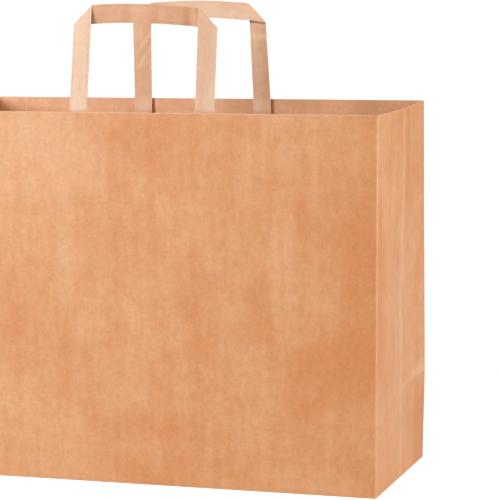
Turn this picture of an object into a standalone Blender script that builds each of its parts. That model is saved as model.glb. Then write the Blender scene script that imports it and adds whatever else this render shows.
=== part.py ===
# Paper carrier bag: one folded sheet with a block bottom and side gussets, two flat
# folded handles and the two patches that are glued over the ends of the handles.
# Metres, +Z up. The origin is the middle of the base, and the front panel faces -Y.

import math

import bmesh
import bpy
from mathutils import Vector

# Bag
BAG_WIDTH = 0.320
BAG_DEPTH = 0.125
BAG_HEIGHT = 0.250
PAPER = 0.0003
SIDE_FOLD_RADIUS = 0.0012       # outside of the four upright folds
BASE_FOLD_INSIDE = 0.00025      # inside of the folds around the base
FOLD_STEPS = 4
MOUTH_SHIFT = 0.0032            # how far the mouth stands to the right of the base
GUSSET_BOW = 0.0020             # the gusset's middle crease, outwards at the mouth
GUSSET_DIMPLE = 0.0008          # the crease's lower end, inwards
BACK_EDGE_SPREAD = 0.0020       # back upright folds, outwards where the flat bag was folded
BACK_CREASE_PUSH = 0.0005       # crease across the back panel, inwards

# Glued lap seam on the back panel
SEAM_FROM_EDGE = 0.005
SEAM_LAP = 0.020
SEAM_JOGGLE = 0.002

# Block bottom
FLAP_LENGTH = 0.075             # every flap is as long as the tube beyond the base folds
FLAP_JOGGLE = 0.0015

# Folded strap of the handles
STRAP_WIDTH = 0.0126
STRAP_THICK = 0.0006
LEG_SPACING = 0.0886            # between the middles of the legs, at the mouth
LEG_SPLAY = math.radians(0.6)
HANDLE_RISE = 0.0692            # top of the band above the mouth
LEG_BELOW_MOUTH = 0.058
LEG_RIM_STANDOFF = 0.0007       # from the wall to the leg, at the mouth
LEG_BULGE_STANDOFF = 0.0016     # the same, just under the mouth
LEG_BULGE_DEPTH = 0.009
HANDLE_LEAN = math.radians(4.5)     # inwards, over the mouth
MITRE_STEPS = 6
FRONT_TILT = math.radians(1.8)      # each handle is glued a little askew
BACK_TILT = math.radians(-0.3)
FRONT_DROP = 0.0
BACK_DROP = 0.0020

# Patches
PATCH_WIDTH = 0.190
PATCH_HEIGHT = 0.050
PATCH_BELOW_MOUTH = 0.015
PATCH_PAPER = 0.0003
PATCH_SLOPE = 0.003

# Clearances
GLUE_GAP = 0.0003               # between pieces that are glued face to face
LEG_SIDE_CLEARANCE = 0.0008     # from a leg's edge to the patch's raised channel

# Shares of one sheet's thickness
FLAP_SINK = 0.2                 # a glued flap's solid reaches this far into the sheet below
EDGE_GROOVE = 0.9               # depth of the groove along the back flap's free edge
CORNER_LEFT = 0.25              # least radius that is left of an upright fold at its foot
TOOL_REACH = 0.004              # cutting shapes run this far past what they cut

# Finishes: base colour and roughness
KRAFT = ((0.74, 0.37, 0.18), 0.85)
STRAP_KRAFT = ((0.80, 0.50, 0.33), 0.80)
PATCH_KRAFT = ((0.72, 0.37, 0.20), 0.85)


def clear_scene():
    for item in list(bpy.data.objects):
        bpy.data.objects.remove(item, do_unlink=True)


def paper_finish(name, finish):
    colour, roughness = finish
    material = bpy.data.materials.new(name)
    material.use_nodes = True
    shader = material.node_tree.nodes["Principled BSDF"]
    shader.inputs["Base Color"].default_value = (*colour, 1.0)
    shader.inputs["Roughness"].default_value = roughness
    shader.inputs["Metallic"].default_value = 0.0
    return material


def object_from(name, points, faces):
    mesh = bpy.data.meshes.new(name)
    mesh.from_pydata([tuple(point) for point in points], [], faces)
    mesh.validate()
    item = bpy.data.objects.new(name, mesh)
    bpy.context.collection.objects.link(item)
    return item


def face_outwards(item):
    edit = bmesh.new()
    edit.from_mesh(item.data)
    bmesh.ops.recalc_face_normals(edit, faces=edit.faces)
    edit.to_mesh(item.data)
    edit.free()


# The tube


def base_fold_radius():
    return BASE_FOLD_INSIDE + PAPER


def fold_inset(height, sheet_depth):
    """how far a face of the sheet lies inside the panel's plane, at a height"""
    turn = base_fold_radius() - sheet_depth
    below = base_fold_radius() - height
    if below <= 0:
        return sheet_depth
    return base_fold_radius() - math.sqrt(max(turn * turn - below * below, 0.0))


def row_shape(height):
    """offsets of the creases from the plain tube at one height"""
    crease_height = BAG_DEPTH / 2
    if height <= crease_height:
        share = height / crease_height
        middle = -GUSSET_DIMPLE * share
        spread = BACK_EDGE_SPREAD * share
        push = BACK_CREASE_PUSH * share
    else:
        share = (height - crease_height) / (BAG_HEIGHT - crease_height)
        middle = -GUSSET_DIMPLE + (GUSSET_BOW + GUSSET_DIMPLE) * share
        spread = BACK_EDGE_SPREAD * (1 - share)
        push = BACK_CREASE_PUSH * (1 - share)
    return middle, spread, push


def corner(centre_x, centre_y, radius, start):
    points = []
    for step in range(FOLD_STEPS + 1):
        angle = math.radians(start + 90 * step / FOLD_STEPS)
        points.append((centre_x + radius * math.cos(angle), centre_y + radius * math.sin(angle)))
    return points


def seam_points(sheet_depth):
    """the lap seam, as points along the back panel and how far out each one lies"""
    lap_end = -BAG_WIDTH / 2 + SEAM_FROM_EDGE
    lap_edge = lap_end + SEAM_LAP
    if sheet_depth == 0:
        along = (lap_edge, lap_edge, lap_end + PAPER, lap_end, lap_end - SEAM_JOGGLE)
        out = (0, PAPER, PAPER, PAPER, 0)
    else:
        along = (lap_edge, lap_edge - PAPER, lap_end, lap_end, lap_end - SEAM_JOGGLE)
        out = (0, 0, 0, PAPER, 0)
    return list(zip(along, out))


def tube_row(height, sheet_depth):
    """one row around the tube, from the front left fold towards the right"""
    inset = fold_inset(height, sheet_depth)
    middle, spread, push = row_shape(height)
    shift = MOUTH_SHIFT * height / BAG_HEIGHT
    radius = max(SIDE_FOLD_RADIUS - inset, CORNER_LEFT * PAPER)
    half_width = BAG_WIDTH / 2 - inset - radius
    half_depth = BAG_DEPTH / 2 - inset - radius
    back = BAG_DEPTH / 2 - inset - push
    row = corner(-half_width, -half_depth, radius, 180)
    row += corner(half_width, -half_depth, radius, 270)
    row.append((BAG_WIDTH / 2 - inset + middle, 0.0))
    row += corner(half_width + spread, half_depth - push, radius, 0)
    row += [(x, back + out) for x, out in seam_points(sheet_depth)]
    row += corner(-half_width - spread, half_depth - push, radius, 90)
    row.append((-BAG_WIDTH / 2 + inset - middle, 0.0))
    return [Vector((x + shift, y, height)) for x, y in row]


def row_heights(sheet_depth):
    turn = base_fold_radius() - sheet_depth
    heights = []
    for step in range(FOLD_STEPS + 1):
        angle = math.radians(90 * step / FOLD_STEPS)
        heights.append(base_fold_radius() - turn * math.cos(angle))
    return heights + [BAG_DEPTH / 2, BAG_HEIGHT]


def gusset_diagonals(count):
    """places in a row whose face is split, with the way that its diagonal runs"""
    right_middle = 2 * (FOLD_STEPS + 1)
    left_middle = count - 1
    rising = {right_middle - 1, left_middle - 1}
    falling = {right_middle, left_middle}
    return rising, falling


def skin_faces(first, rows, count):
    """faces of one side of the tube, with the gusset's folds running to the base corners"""
    rising, falling = gusset_diagonals(count)
    crease_row = rows - 3
    faces = []
    for row in range(rows - 1):
        for place in range(count):
            following = (place + 1) % count
            low = first + row * count + place
            low_next = first + row * count + following
            high = low + count
            high_next = low_next + count
            if row == crease_row and place in rising:
                faces += [(low, low_next, high_next), (low, high_next, high)]
            elif row == crease_row and place in falling:
                faces += [(low, low_next, high), (low_next, high_next, high)]
            else:
                faces.append((low, low_next, high_next, high))
    return faces


def make_tube():
    outer_heights = row_heights(0)
    inner_heights = row_heights(PAPER)
    outer = [point for height in outer_heights for point in tube_row(height, 0)]
    inner = [point for height in inner_heights for point in tube_row(height, PAPER)]
    rows = len(outer_heights)
    count = len(outer) // rows
    faces = skin_faces(0, rows, count)
    faces += [face[::-1] for face in skin_faces(len(outer), rows, count)]
    outer_rim = (rows - 1) * count
    inner_rim = len(outer) + outer_rim
    for place in range(count):
        following = (place + 1) % count
        faces.append((outer_rim + place, outer_rim + following, inner_rim + following, inner_rim + place))
    faces.append(tuple(reversed(range(count))))
    faces.append(tuple(range(len(outer), len(outer) + count)))
    tube = object_from("bag_body", outer + inner, faces)
    face_outwards(tube)
    return tube


# The block bottom


def prism(name, outline, low, high):
    """an upright prism over an outline given anticlockwise from above"""
    count = len(outline)
    points = [Vector((x, y, low)) for x, y in outline] + [Vector((x, y, high)) for x, y in outline]
    faces = [tuple(reversed(range(count))), tuple(range(count, 2 * count))]
    for place in range(count):
        following = (place + 1) % count
        faces.append((place, following, count + following, count + place))
    return object_from(name, points, faces)


def mark_as_tool(item):
    item.hide_render = True
    item.display_type = "WIRE"


def combine(target, tool, operation):
    mark_as_tool(tool)
    change = target.modifiers.new(tool.name, "BOOLEAN")
    change.operation = operation
    change.solver = "EXACT"
    change.object = tool


def add_side_flap(body, side):
    """side flap, glued over the corner tucks, inside the bag"""
    low = (1 - FLAP_SINK) * PAPER
    edge = (fold_inset(low, 0) + PAPER) / 2
    near = BAG_WIDTH / 2 - FLAP_LENGTH
    far = BAG_WIDTH / 2 - edge
    half = BAG_DEPTH / 2 - edge
    left, right = sorted((side * near, side * far))
    outline = [(left, -half), (right, -half), (right, half), (left, half)]
    name = "side_flap_right" if side > 0 else "side_flap_left"
    combine(body, prism(name, outline, low, 3 * PAPER), "UNION")


def flap_overlap():
    return 2 * FLAP_LENGTH - BAG_DEPTH


def add_front_flap_lap(body):
    """the front flap where it steps up over the back flap"""
    half = BAG_WIDTH / 2 - FLAP_LENGTH + 2 * FLAP_JOGGLE
    front = -flap_overlap() / 2
    back = flap_overlap() / 2
    low = (1 - FLAP_SINK) * PAPER
    high = 2 * PAPER
    foot = front - FLAP_JOGGLE * (high - low) / PAPER
    profile = [(foot, low), (back, low), (back, high), (front, high)]
    points = [Vector((x, y, z)) for x in (-half, half) for y, z in profile]
    faces = [(0, 1, 2, 3), (7, 6, 5, 4), (0, 4, 5, 1), (1, 5, 6, 2), (2, 6, 7, 3), (3, 7, 4, 0)]
    lap = object_from("front_flap_lap", points, faces)
    face_outwards(lap)
    combine(body, lap, "UNION")


def cut_side_step(body, side):
    """the side flap shows between the two long flaps, one sheet higher than they do"""
    tip = side * (BAG_WIDTH - BAG_DEPTH) / 2
    outer = side * (BAG_WIDTH / 2 + TOOL_REACH)
    half = BAG_DEPTH / 2 + TOOL_REACH
    outline = [(tip, 0.0), (outer, -half), (outer, half)]
    if side < 0:
        outline.reverse()
    name = "side_step_right" if side > 0 else "side_step_left"
    combine(body, prism(name, outline, -TOOL_REACH, PAPER), "DIFFERENCE")


def cut_flap_edge(body):
    """groove along the free edge of the back flap, where the front flap steps up behind it"""
    edge_y = -flap_overlap() / 2
    edge_x = BAG_WIDTH / 2 - FLAP_LENGTH
    run = flap_overlap() / 2 + FLAP_JOGGLE
    depth = EDGE_GROOVE * PAPER
    path = [(-edge_x - run, edge_y + run), (-edge_x, edge_y), (edge_x, edge_y), (edge_x + run, edge_y + run)]
    slant = math.sqrt(0.5)
    mitre = math.tan(math.radians(22.5))
    ways = [(-slant, -slant), (-mitre, -1.0), (mitre, -1.0), (slant, -slant)]
    reach = 2 * FLAP_JOGGLE
    points = []
    for (x, y), (way_x, way_y) in zip(path, ways):
        points.append(Vector((x, y, depth)))
        points.append(Vector((x, y, -depth)))
        points.append(Vector((x + reach * way_x, y + reach * way_y, -depth)))
    faces = [(0, 1, 2), (9, 11, 10)]
    for section in range(3):
        base = 3 * section
        for place in range(3):
            following = (place + 1) % 3
            faces.append((base + place, base + 3 + place, base + 3 + following, base + following))
    groove = object_from("back_flap_edge", points, faces)
    face_outwards(groove)
    combine(body, groove, "DIFFERENCE")


def make_bag_body():
    body = make_tube()
    for side in (1, -1):
        add_side_flap(body, side)
    add_front_flap_lap(body)
    for side in (1, -1):
        cut_side_step(body, side)
    cut_flap_edge(body)
    body.data.materials.append(paper_finish("kraft_paper", KRAFT))
    return body


# Sheets that are bent along straight lines


def bent_sheet(name, rulings, thickness):
    """a closed sheet about a middle surface given by its straight bend lines, end to end"""
    normals = []
    for (a, b), (c, d) in zip(rulings, rulings[1:]):
        normals.append((b - a + d - c).cross(c - a + d - b).normalized())
    points = []
    for place, (a, b) in enumerate(rulings):
        before = normals[max(place - 1, 0)]
        after = normals[min(place, len(normals) - 1)]
        bisector = (before + after).normalized()
        offset = bisector * (thickness / 2 / bisector.dot(after))
        points += [a - offset, b - offset, b + offset, a + offset]
    faces = [(0, 1, 2, 3)]
    for place in range(len(rulings) - 1):
        base = 4 * place
        for side in range(4):
            following = (side + 1) % 4
            faces.append((base + side, base + 4 + side, base + 4 + following, base + following))
    last = 4 * (len(rulings) - 1)
    faces.append((last + 3, last + 2, last + 1, last))
    sheet = object_from(name, points, faces)
    face_outwards(sheet)
    return sheet


# Handles


def fold_radius():
    """middle of the strap around a mitre fold, with a glue gap left between its layers"""
    return (STRAP_THICK + GLUE_GAP) / 2


def band_low():
    """lower edge of the band, above the mouth"""
    return HANDLE_RISE - STRAP_WIDTH


def askew(point, tilt, drop):
    """a point of the handle's plane, turned about the middle of the mouth and let down"""
    x = point.x * math.cos(tilt) + point.y * math.sin(tilt)
    rise = point.y * math.cos(tilt) - point.x * math.sin(tilt)
    return Vector((x, rise - drop))


def mitre_lines():
    """bend lines of the left mitre, from the leg to the band: both ends and their layer"""
    way = Vector((math.sin(LEG_SPLAY), math.cos(LEG_SPLAY)))
    sideways = Vector((-way.y, way.x))
    middle = Vector((-LEG_SPACING / 2 + math.tan(LEG_SPLAY) * band_low(), band_low()))
    along = (way + Vector((1.0, 0.0))).normalized()
    outwards = Vector((-along.y, along.x))
    outer_end = middle + sideways * (STRAP_WIDTH / 2)
    inner_end = outer_end + along * (STRAP_WIDTH / abs(along.cross(way)))
    radius = fold_radius()
    lines = []
    for step in range(MITRE_STEPS + 1):
        angle = math.pi * step / MITRE_STEPS
        bulge = outwards * (radius * math.sin(angle)) + along * (radius * angle)
        lines.append((outer_end + bulge, inner_end + bulge, radius * (1 - math.cos(angle))))
    return lines


def flip(line):
    a, b, layer = line
    return Vector((-a.x, a.y)), Vector((-b.x, b.y)), layer


def leg_at(side, rise, tilt, drop):
    """outer and inner edge of a leg at one height, in the plane of the wall"""
    first = mitre_lines()[0]
    way = Vector((-side * math.sin(LEG_SPLAY), math.cos(LEG_SPLAY)))
    if side > 0:
        first = flip(first)
    ends = []
    for end in first[:2]:
        top = askew(end, tilt, drop)
        low = askew(end - way, tilt, drop)
        ends.append(top + (top - low) * ((rise - top.y) / (top.y - low.y)))
    return ends


def leg_stations():
    """heights over the mouth where a leg bends, and the distance from the wall to its middle"""
    glued = GLUE_GAP + STRAP_THICK / 2
    return [
        (-LEG_BELOW_MOUTH, glued),
        (-PATCH_BELOW_MOUTH, glued),
        (-LEG_BULGE_DEPTH, LEG_BULGE_STANDOFF + STRAP_THICK / 2),
        (0.0, LEG_RIM_STANDOFF + STRAP_THICK / 2),
    ]


def strap_lines(tilt, drop):
    """every bend line of a handle: two ends over the mouth's plane, and how far in they lie"""
    legs = {}
    for side in (-1, 1):
        legs[side] = [(*leg_at(side, rise, tilt, drop), near) for rise, near in leg_stations()]
    mitre = mitre_lines()
    top = []
    for a, b, layer in mitre + [flip(line) for line in reversed(mitre)]:
        a = askew(a, tilt, drop)
        b = askew(b, tilt, drop)
        top.append((a, b, layer))
    return legs[-1], top, legs[1][::-1]


def make_handle(name, facing, tilt, drop):
    """a handle inside the wall that faces -Y (facing = 1) or +Y (facing = -1)"""
    wall = BAG_DEPTH / 2 - PAPER
    rim_standoff = leg_stations()[-1][1]
    left_leg, top, right_leg = strap_lines(tilt, drop)
    rulings = []
    for group in (left_leg, top, right_leg):
        for a, b, inwards in group:
            ends = []
            for point in (a, b):
                near = inwards
                if group is top:
                    near += rim_standoff + point.y * math.tan(HANDLE_LEAN)
                x = facing * point.x + MOUTH_SHIFT
                ends.append(Vector((x, facing * (near - wall), BAG_HEIGHT + point.y)))
            rulings.append(tuple(ends))
    handle = bent_sheet(name, rulings, STRAP_THICK)
    handle.data.materials.append(paper_finish(name + "_paper", STRAP_KRAFT))
    return handle


# Patches


def patch_stations(rise, tilt, drop):
    """the patch's bends at one height: it lies on the wall and rises over each leg"""
    low = GLUE_GAP + PATCH_PAPER / 2
    high = 2 * GLUE_GAP + STRAP_THICK + PATCH_PAPER / 2
    stations = [(-PATCH_WIDTH / 2, low)]
    for side in (-1, 1):
        left, right = sorted(point.x for point in leg_at(side, rise, tilt, drop))
        left -= LEG_SIDE_CLEARANCE
        right += LEG_SIDE_CLEARANCE
        stations += [(left - PATCH_SLOPE, low), (left, high), (right, high), (right + PATCH_SLOPE, low)]
    stations.append((PATCH_WIDTH / 2, low))
    return stations


def make_patch(name, facing, tilt, drop):
    wall = BAG_DEPTH / 2 - PAPER
    top = -PATCH_BELOW_MOUTH
    bottom = top - PATCH_HEIGHT
    rulings = []
    for upper, lower in zip(patch_stations(top, tilt, drop), patch_stations(bottom, tilt, drop)):
        ends = []
        for (x, inwards), rise in ((upper, top), (lower, bottom)):
            ends.append(Vector((facing * x + MOUTH_SHIFT, facing * (inwards - wall), BAG_HEIGHT + rise)))
        rulings.append(tuple(ends))
    patch = bent_sheet(name, rulings, PATCH_PAPER)
    patch.data.materials.append(paper_finish(name + "_paper", PATCH_KRAFT))
    return patch


def main():
    clear_scene()
    make_bag_body()
    make_handle("handle_front", 1, FRONT_TILT, FRONT_DROP)
    make_handle("handle_back", -1, BACK_TILT, BACK_DROP)
    make_patch("patch_front", 1, FRONT_TILT, FRONT_DROP)
    make_patch("patch_back", -1, BACK_TILT, BACK_DROP)


main()
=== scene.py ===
import math

import bmesh
import bpy
from mathutils import Matrix, Vector, noise


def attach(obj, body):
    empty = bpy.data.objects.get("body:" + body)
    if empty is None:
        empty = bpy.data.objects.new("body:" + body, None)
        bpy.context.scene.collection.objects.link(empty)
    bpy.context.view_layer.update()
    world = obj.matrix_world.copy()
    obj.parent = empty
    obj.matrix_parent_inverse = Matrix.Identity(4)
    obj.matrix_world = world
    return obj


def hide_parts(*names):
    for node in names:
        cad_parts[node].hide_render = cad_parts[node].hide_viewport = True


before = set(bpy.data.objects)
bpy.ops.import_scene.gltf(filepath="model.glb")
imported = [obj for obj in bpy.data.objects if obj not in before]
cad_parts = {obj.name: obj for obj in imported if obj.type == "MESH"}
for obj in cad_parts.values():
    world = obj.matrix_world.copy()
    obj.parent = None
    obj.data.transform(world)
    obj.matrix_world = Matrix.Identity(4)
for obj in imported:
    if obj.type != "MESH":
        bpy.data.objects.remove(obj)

# Paper carrier bag: one folded sheet of kraft paper, two flat folded handles and the two patches
# that hold them. Metres, +Z up, the front panel faces -Y.

mm = 0.001
diagonal = math.sqrt(0.5)           # sine of 45 degrees
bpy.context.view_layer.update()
scene = bpy.context.scene
scene.view_settings.view_transform = "Standard"


print("camera")

camera = dict(
    place=(0.5353, -1.4868, 0.3695),
    lens=167.03,
    sensor=36,
    sight=(0.05, 60),               # nearest and farthest that it sees
    yaw=17.844,
    pitch=7.93,
    roll=-0.829,
)


def addCamera():
    data = bpy.data.cameras.new("camera")
    data.lens = camera["lens"]
    data.sensor_width = camera["sensor"]
    data.clip_start, data.clip_end = camera["sight"]
    item = bpy.data.objects.new("camera", data)
    scene.collection.objects.link(item)
    turn = Matrix.Rotation(math.radians(camera["yaw"]), 4, "Z")
    turn = turn @ Matrix.Rotation(math.radians(90 - camera["pitch"]), 4, "X")
    turn = turn @ Matrix.Rotation(math.radians(camera["roll"]), 4, "Z")
    item.matrix_world = Matrix.Translation(camera["place"]) @ turn
    scene.camera = item


addCamera()


print("node helpers")

lineCore = 0.3                      # share of a line's width that is full


class Wire:
    # one output socket, so that shader maths reads as plain arithmetic
    def __init__(self, nodes, socket):
        self.nodes = nodes
        self.socket = socket

    def math(self, operation, first, second=0.0):
        return self.nodes.add("ShaderNodeMath", dict(operation=operation), {0: first, 1: second})

    def __add__(self, other):
        return self.math("ADD", self, other)

    def __radd__(self, other):
        return self.math("ADD", other, self)

    def __sub__(self, other):
        return self.math("SUBTRACT", self, other)

    def __rsub__(self, other):
        return self.math("SUBTRACT", other, self)

    def __mul__(self, other):
        return self.math("MULTIPLY", self, other)

    def __rmul__(self, other):
        return self.math("MULTIPLY", other, self)

    def __abs__(self):
        return self.math("ABSOLUTE", self)


class Nodes:
    # a node tree that is filled by one method
    def __init__(self, tree):
        self.tree = tree

    def add(self, kind, settings, sockets, output=0):
        made = self.tree.nodes.new(kind)
        for name, value in settings.items():
            setattr(made, name, value)
        for name, value in sockets.items():
            self.feed(made.inputs[name], value)
        if made.outputs:
            return Wire(self, made.outputs[output])

    def feed(self, socket, value):
        if isinstance(value, Wire):
            self.tree.links.new(value.socket, socket)
        else:
            socket.default_value = value

    # a value's way from low to high, as a smooth step from 0 to 1
    def step(self, value, low, high):
        settings = dict(interpolation_type="SMOOTHSTEP")
        sockets = {"Value": value, "From Min": low, "From Max": high}
        return self.add("ShaderNodeMapRange", settings, sockets)

    # 1 on a line and 0 away from it
    def line(self, distance, width):
        return 1 - self.step(distance, width * lineCore, width)

    def noise(self, place, scale, detail, roughness):
        sockets = {"Vector": place, "Scale": scale, "Detail": detail, "Roughness": roughness}
        return self.add("ShaderNodeTexNoise", {}, sockets)

    def stretched(self, place, factors, offset):
        sockets = {"Vector": place, "Scale": factors, "Location": offset}
        return self.add("ShaderNodeMapping", dict(vector_type="POINT"), sockets)

    # a colour moved towards another by a factor, by mixing or by another blend
    def blend(self, factor, first, second, way="MIX"):
        settings = dict(data_type="RGBA", blend_type=way, clamp_result=False)
        return self.add("ShaderNodeMix", settings, {0: factor, 6: first, 7: second}, 2)


def colour(red, green, blue):
    return (red, green, blue, 1.0)


print("paper finishes")

# what all the papers share
paper = dict(
    # fields of noise: scale, detail, roughness, and the share of the scale up the sheet
    fields=dict(
        grain=(560.0, 2.0, 0.6, 1.0),
        fibre=(260.0, 2.0, 0.6, 0.55),
        cloud=(62.0, 3.0, 0.6, 1.0),
        wide=(14.0, 2.0, 0.5, 1.0),
        streak=(110.0, 2.0, 0.5, 0.12),
    ),
    fine=dict(grain=0.5, fibre=0.5),
    gloss=0.12,                     # how much the fine fibres vary the roughness
    reliefDepth=0.12 * mm,
    reliefStrength=0.8,
)

kraft = dict(
    deep=colour(0.66, 0.245, 0.074),
    pale=colour(0.73, 0.375, 0.178),
    # pale colour along the folds and creases: partly the paper's wear, partly painted highlight on
    # their ridges
    fold=colour(0.86, 0.50, 0.29),
    cut=colour(0.86, 0.58, 0.38),
    # the inside's colours are paler than the outside's: partly the paper's own paler inner face,
    # partly painted light for the light that shines through the thin paper
    innerDeepWithPaintedLight=colour(0.82, 0.40, 0.19),
    innerPaleWithPaintedLight=colour(0.88, 0.49, 0.28),
    rough=0.34,
    sheen=0.65,
    speckle=0.55,                   # how much the fine fibres darken and lighten the paper
    outsideStart=0.0,               # where in the noise each face starts
    insideStart=3.1,
    mottle=dict(cloud=0.30, streak=0.24, wide=0.32),
    contrast=(0.3, 0.7),            # the mottle that is all deep, and all pale
    # shares of the marks that pale the paper (partly wear, partly painted highlight and painted
    # light), that bare its fibres, and that give it relief
    wearAndPaintedLight=dict(upright=0.9, base=0.6, middle=0.8, slope=0.2, level=0.4, paintedLightBand=1.3),
    # that paleness is partly wear and partly painted highlight
    wearAndPaintedLightFibres=(0.2, 0.5),          # of the worn paleness: everywhere, and with the fibres
    bared=dict(rim=0.8, seam=0.48),
    relief=dict(
        grain=0.4, fibre=0.6, cloud=1.2,
        middle=0.48, level=0.4, slope=0.32, wrinkles=-1.76,
    ),
    # width of each mark, and over how far some of them fade out
    markWidth=dict(
        upright=1.3 * mm, base=0.9 * mm, middle=1.0 * mm, broad=7 * mm,
        slope=1.0 * mm, level=1.0 * mm, rim=0.5 * mm, seam=0.5 * mm,
    ),
    # the soft band along the gussets' middle creases is painted highlight
    broadShare=0.5,                 # of the soft band along the gussets' middle creases
    markFade=dict(middle=3 * mm, slope=2 * mm, fold=0.5 * mm, level=3 * mm, paintedLightBand=4 * mm),
    # the pale band above the level crease is painted light, where the gusset's upper facet turns to
    # the lamps
    paintedLightBandLow=(-0.3 * mm, 0.8 * mm),    # where the pale band above the level crease sets in
    paintedLightBandHigh=(1 * mm, 13 * mm),       # and where it fades
    # broad paler and deeper places, partly the paper's own patches and partly painted light: mostly
    # paler on the front's lit left and top, deeper towards its shaded right, with painted shade on the
    # gusset's low back facet; middle on the flat sheet, half width and height, strength
    stainsAndPaintedLight=(
        (314 * mm, 142 * mm, 28 * mm, 90 * mm, -0.14),
        (286 * mm, 80 * mm, 44 * mm, 44 * mm, -0.11),
        (240 * mm, 125 * mm, 11 * mm, 34 * mm, -0.10),
        (105 * mm, 160 * mm, 10 * mm, 62 * mm, 0.10),
        (74 * mm, 222 * mm, 70 * mm, 56 * mm, 0.11),
        (183 * mm, 183 * mm, 30 * mm, 36 * mm, 0.05),
        (258 * mm, 150 * mm, 14 * mm, 56 * mm, 0.06),
        (155 * mm, 232 * mm, 26 * mm, 22 * mm, -0.04),
        (75 * mm, 26 * mm, 70 * mm, 62 * mm, 0.10),
        (140 * mm, 64 * mm, 34 * mm, 34 * mm, 0.05),
        (255 * mm, 4 * mm, 70 * mm, 18 * mm, 0.06),
        (432 * mm, 24 * mm, 22 * mm, 40 * mm, -0.14),
        (420 * mm, 150 * mm, 28 * mm, 110 * mm, -0.03),
    ),
)


# every place on the flat sheet carries its own coordinates, in metres
def sheetPlace(nodes):
    return nodes.add("ShaderNodeUVMap", dict(uv_map="flatSheet"), {})


# the same as two numbers, across the sheet and up it
def acrossAndUp(nodes, place):
    return [nodes.add("ShaderNodeSeparateXYZ", {}, {0: place}, axis) for axis in (0, 1)]


# fibres, cloudy blotches and the long faint streaks of the web, about 0.5 each
def paperFields(nodes, place, start):
    fields = {}
    for name, (scale, detail, roughness, upwards) in paper["fields"].items():
        moved = nodes.stretched(place, (1.0, upwards, 1.0), (start, start * upwards, 0.0))
        fields[name] = nodes.noise(moved, scale, detail, roughness)
    return fields


# fields and marks added up in their shares
def added(parts, shares):
    return sum(parts[name] * share for name, share in shares.items())


# fields added up, about 0.5 whatever their shares come to
def mottled(fields, shares):
    return added(fields, shares) + (1 - sum(shares.values())) / 2


def newFinish(name):
    material = bpy.data.materials.new(name)
    material.use_nodes = True
    return material, Nodes(material.node_tree)


# a paper's colour and roughness, a little different from fibre to fibre, and its relief
def applyFinish(material, nodes, fields, body, relief, rough, speckle):
    shader = material.node_tree.nodes["Principled BSDF"]
    fine = added(fields, paper["fine"])
    level = fine * speckle + (1 - speckle / 2)
    nodes.feed(shader.inputs["Base Color"], nodes.blend(1.0, body, level, "MULTIPLY"))
    nodes.feed(shader.inputs["Roughness"], fine * paper["gloss"] + (rough - paper["gloss"] / 2))
    sockets = {"Height": relief, "Distance": paper["reliefDepth"], "Strength": paper["reliefStrength"]}
    nodes.feed(shader.inputs["Normal"], nodes.add("ShaderNodeBump", {}, sockets))
    return shader


# one soft oval, strongest at its middle; the ovals are partly paper patches and partly painted light
# and shade
def stainOrPaintedLight(nodes, across, height, oval):
    x, z, wide, tall, strength = oval
    sideways = (across - x) * (1 / wide)
    upwards = (height - z) * (1 / tall)
    return (1 - nodes.step(sideways * sideways + upwards * upwards, 0.0, 1.0)) * strength


def kraftFinish(name, inside):
    material, nodes = newFinish(name)
    place = sheetPlace(nodes)
    across, height = acrossAndUp(nodes, place)
    fields = paperFields(nodes, place, kraft["insideStart" if inside else "outsideStart"])
    marks = {**fields, **sheetMarks(nodes, across, height)}

    mottle = mottled(fields, kraft["mottle"])
    if not inside:
        # paler and deeper ovals on the outside, partly the paper's own patches and partly painted
        # light and shade
        for oval in kraft["stainsAndPaintedLight"]:
            mottle = mottle + stainOrPaintedLight(nodes, across, height, oval)
    deep = kraft["innerDeepWithPaintedLight" if inside else "deep"]
    pale = kraft["innerPaleWithPaintedLight" if inside else "pale"]
    body = nodes.blend(nodes.step(mottle, *kraft["contrast"]), deep, pale)
    everywhere, withFibres = kraft["wearAndPaintedLightFibres"]
    # pale lines along the folds and creases, partly wear and partly painted highlight, with the
    # painted light above the level crease
    wearAndPaintedLight = added(marks, kraft["wearAndPaintedLight"]) * (everywhere + withFibres * fields["fibre"])
    body = nodes.blend(wearAndPaintedLight, body, kraft["fold"])
    body = nodes.blend(added(marks, kraft["bared"]), body, kraft["cut"])
    relief = added(marks, kraft["relief"])
    shader = applyFinish(material, nodes, fields, body, relief, kraft["rough"], kraft["speckle"])
    shader.inputs["Specular IOR Level"].default_value = kraft["sheen"]
    return material


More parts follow.
